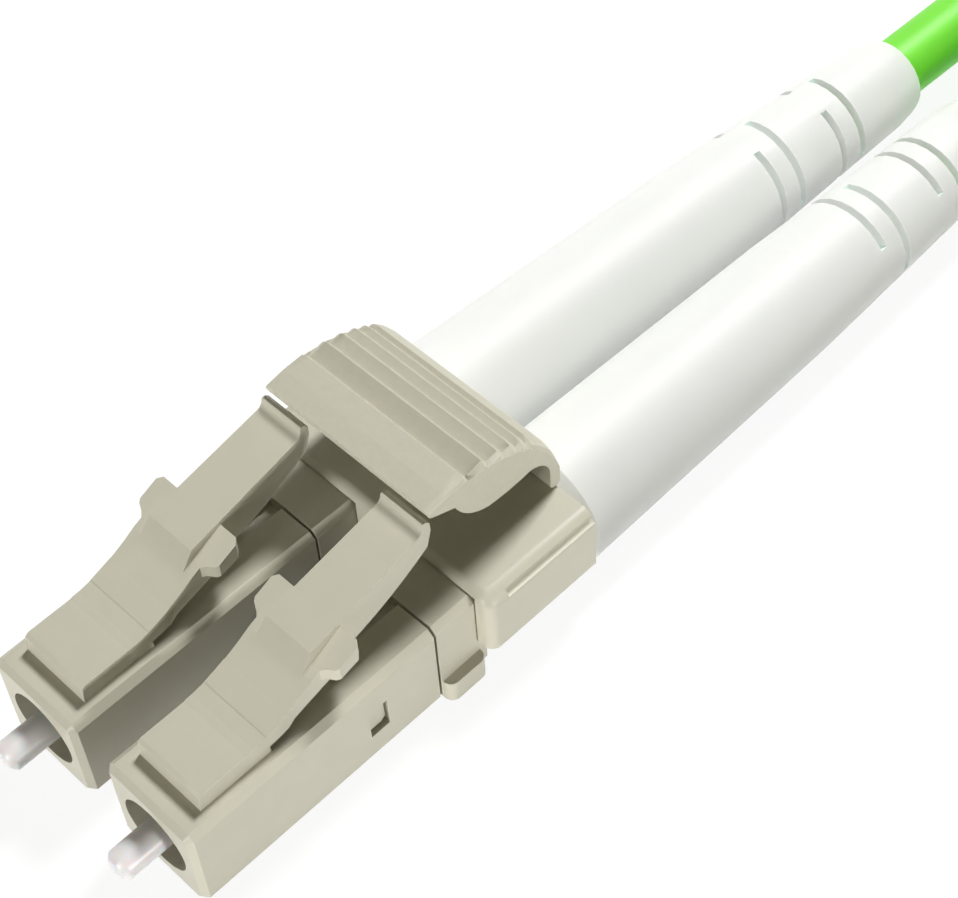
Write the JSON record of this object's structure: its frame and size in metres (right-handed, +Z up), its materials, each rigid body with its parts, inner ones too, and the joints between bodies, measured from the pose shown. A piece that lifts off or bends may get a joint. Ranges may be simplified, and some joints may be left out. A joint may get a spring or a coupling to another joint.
{
  "type": "duplex LC fibre connector on a coiled patch cord",
  "caption": "Duplex LC fibre connector: grey-beige plugs with latches under a shared trigger clip, white ferrules and boots, lime green twin cord folded in a tied hank.",
  "frame": {"origin": "middle of the near connector from ferrule tips to boot ends, on the surface its boots rest on", "axes": "-Y the way the ferrules point, +Y towards the cord, +Z up through the latches, +X from plug A to plug B"},
  "size_m": [0.032, 0.1535, 0.0226],
  "materials": {
    "housing_plastic": "satin warm grey-beige moulding",
    "zirconia": "polished white ceramic",
    "plated_flange": "nickel plated, satin",
    "spring_steel": "bright drawn wire",
    "guide_tube": "extruded, natural",
    "buffered_fibre": "smooth buffer coating",
    "crimp_metal": "satin crimped tube",
    "boot_rubber": "soft white satin",
    "cable_jacket": "lime green extruded jacket, satin",
    "tie_strap": "black hook-and-loop strap"
  },
  "bodies": {
    "plug_body": {"boot_a": "boot_rubber", "boot_b": "boot_rubber", "cable_a": "cable_jacket", "cable_b": "cable_jacket", "crimp_sleeve_a": "crimp_metal", "crimp_sleeve_b": "crimp_metal", "duplex_clip": "housing_plastic", "far_boot_a": "boot_rubber", "far_boot_b": "boot_rubber", "far_duplex_clip": "housing_plastic", "far_plug_a": "housing_plastic", "far_plug_b": "housing_plastic", "fibre_a": "buffered_fibre", "fibre_b": "buffered_fibre", "front_housing_a": "housing_plastic", "front_housing_b": "housing_plastic", "hank_a": "cable_jacket", "hank_b": "cable_jacket", "hank_tie": "tie_strap", "inner_tube_a": "guide_tube", "inner_tube_b": "guide_tube", "rear_body_a": "housing_plastic", "rear_body_b": "housing_plastic", "spring_a": "spring_steel", "spring_b": "spring_steel", "tail_a": "cable_jacket", "tail_b": "cable_jacket"},
    "latch_a": {"latch_a": "housing_plastic"},
    "latch_b": {"latch_b": "housing_plastic"},
    "trigger": {"trigger": "housing_plastic"},
    "ferrule_a": {"ferrule_a": "zirconia", "ferrule_flange_a": "plated_flange"},
    "ferrule_b": {"ferrule_b": "zirconia", "ferrule_flange_b": "plated_flange"},
    "far_latch_a": {"far_latch_a": "housing_plastic"},
    "far_latch_b": {"far_latch_b": "housing_plastic"},
    "far_trigger": {"far_trigger": "housing_plastic"},
    "far_ferrule_a": {"far_ferrule_a": "zirconia"},
    "far_ferrule_b": {"far_ferrule_b": "zirconia"}
  },
  "joints": [
    {"name": "trigger_hinge", "type": "hinge", "parent": "plug_body", "child": "trigger", "pos_m": [0, -0.00333, 0.00567], "axis": [1, 0, 0], "range_deg": [0, 10], "stiffness_Nm_per_rad": 0.002},
    {"name": "latch_hinge_a", "type": "hinge", "parent": "plug_body", "child": "latch_a", "pos_m": [-0.00313, -0.01784, 0.00575], "axis": [1, 0, 0], "range_deg": [-8.5, 0]},
    {"name": "ferrule_slide_a", "type": "slide", "parent": "plug_body", "child": "ferrule_a", "axis": [0, 1, 0], "range_m": [0, 0.001], "stiffness_N_per_m": 2000, "deforming": ["spring_a"]},
    {"name": "latch_hinge_b", "type": "hinge", "parent": "plug_body", "child": "latch_b", "pos_m": [0.00313, -0.01784, 0.00575], "axis": [1, 0, 0], "range_deg": [-8.5, 0]},
    {"name": "ferrule_slide_b", "type": "slide", "parent": "plug_body", "child": "ferrule_b", "axis": [0, 1, 0], "range_m": [0, 0.001], "stiffness_N_per_m": 2000, "deforming": ["spring_b"]},
    {"name": "far_trigger_hinge", "type": "hinge", "parent": "plug_body", "child": "far_trigger", "pos_m": [0.006, 0.08327, 0.01817], "axis": [1, 0, 0], "range_deg": [0, 10], "stiffness_Nm_per_rad": 0.002},
    {"name": "far_latch_hinge_a", "type": "hinge", "parent": "plug_body", "child": "far_latch_a", "pos_m": [0.00287, 0.06877, 0.01825], "axis": [1, 0, 0], "range_deg": [-8.5, 0]},
    {"name": "far_ferrule_slide_a", "type": "slide", "parent": "plug_body", "child": "far_ferrule_a", "axis": [0, 1, 0], "range_m": [0, 0.001], "stiffness_N_per_m": 2000},
    {"name": "far_latch_hinge_b", "type": "hinge", "parent": "plug_body", "child": "far_latch_b", "pos_m": [0.00912, 0.06877, 0.01825], "axis": [1, 0, 0], "range_deg": [-8.5, 0]},
    {"name": "far_ferrule_slide_b", "type": "slide", "parent": "plug_body", "child": "far_ferrule_b", "axis": [0, 1, 0], "range_m": [0, 0.001], "stiffness_N_per_m": 2000}
  ],
  "couplings": [
    {"joint": "latch_hinge_a", "follows": "trigger_hinge", "ratio": -0.85},
    {"joint": "latch_hinge_b", "follows": "trigger_hinge", "ratio": -0.85},
    {"joint": "far_latch_hinge_a", "follows": "far_trigger_hinge", "ratio": -0.85},
    {"joint": "far_latch_hinge_b", "follows": "far_trigger_hinge", "ratio": -0.85}
  ]
}
